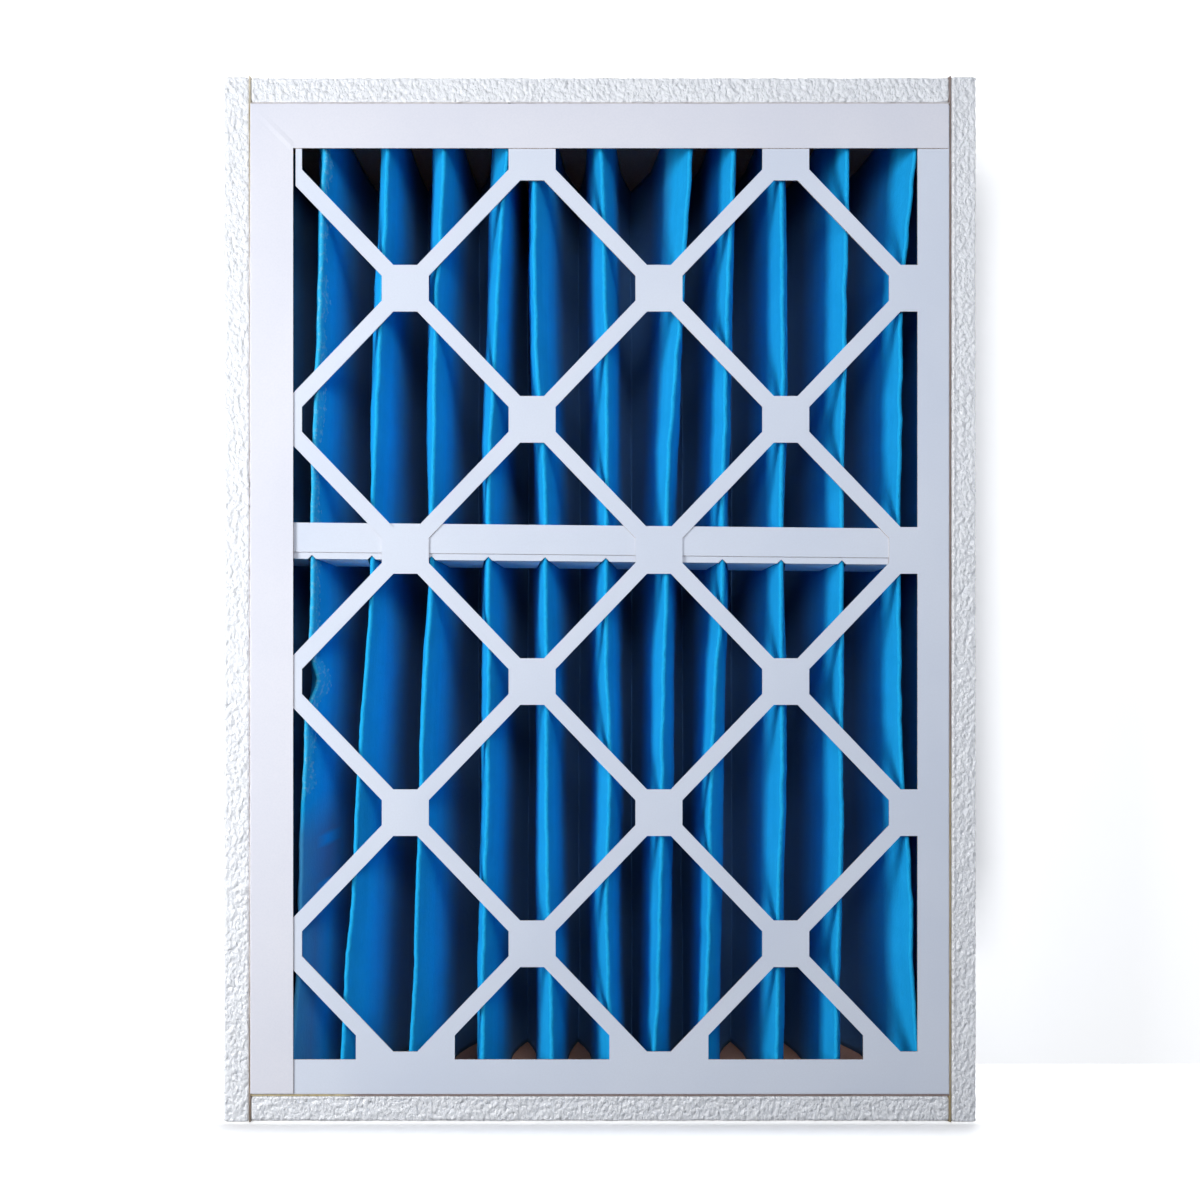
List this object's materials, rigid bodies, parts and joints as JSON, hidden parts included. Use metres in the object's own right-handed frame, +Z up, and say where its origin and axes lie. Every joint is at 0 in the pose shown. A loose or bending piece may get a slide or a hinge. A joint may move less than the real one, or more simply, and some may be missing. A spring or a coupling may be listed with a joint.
{
  "type": "pleated panel air filter",
  "caption": "Deep pleated panel air filter: folded blue media in a die-cut board carton with a diamond grid on each face, notched combs and a foam edge gasket.",
  "frame": {"origin": "bottom centre of the lower foam strip, on which the filter stands", "axes": "+X across the width, -Y out of the front face against the airflow, +Z up along the folds"},
  "size_m": [0.378, 0.095, 0.524],
  "materials": {
    "board": "clay-coated white board",
    "media": "dyed nonwoven fibre",
    "foam": "pebbled white foam",
    "tape": "yellowed adhesive tape"
  },
  "bodies": {
    "root": {"front_frame": "board", "rear_frame": "board", "pleated_media": "media", "front_comb": "board", "front_comb_cover": "board", "rear_comb": "board", "rear_comb_cover": "board", "foam_strip_left": "foam", "foam_strip_right": "foam", "foam_strip_bottom": "foam", "foam_strip_top": "foam", "tape_left": "tape", "tape_right": "tape", "tape_bottom": "tape", "tape_top": "tape"}
  },
  "joints": []
}
